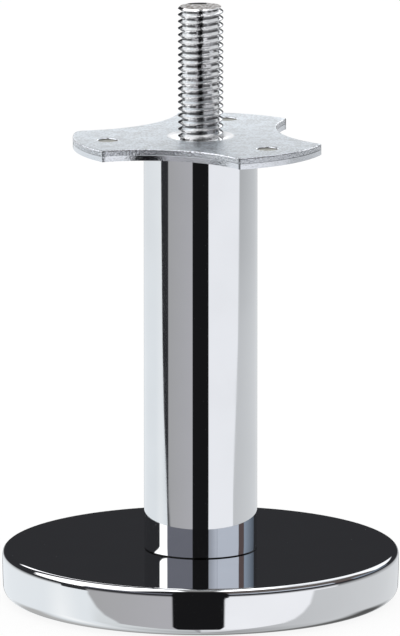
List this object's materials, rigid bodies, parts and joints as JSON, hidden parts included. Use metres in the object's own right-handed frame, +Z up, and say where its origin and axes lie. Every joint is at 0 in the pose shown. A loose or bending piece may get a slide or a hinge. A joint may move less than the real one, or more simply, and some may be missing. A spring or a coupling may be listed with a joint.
{
  "type": "furniture leg",
  "caption": "Round tube leg on a flat disc foot, with a threaded stud and a three-arm screw plate at the top, that carries the underside of a bed, sofa or cabinet.",
  "frame": {"origin": "centre of the floor pad's underside, on the floor", "axes": "+Z up along the axis of the disc, tube and stud; -Y towards the viewer of the picture, +X to their right"},
  "size_m": [0.0878, 0.0878, 0.1327],
  "materials": {
    "zinc_plate": "satin",
    "bright_zinc": "gloss",
    "tube_chrome": "polished",
    "disc_chrome": "polished",
    "turned_steel": "satin",
    "dark_steel": "satin",
    "felt": "matte"
  },
  "bodies": {
    "root": {"mounting_plate": "zinc_plate", "threaded_stud": "bright_zinc", "leg_tube": "tube_chrome", "base_disc": "disc_chrome", "top_plug": "turned_steel", "foot_plug": "turned_steel", "base_screw": "dark_steel", "floor_pad": "felt"}
  },
  "joints": []
}
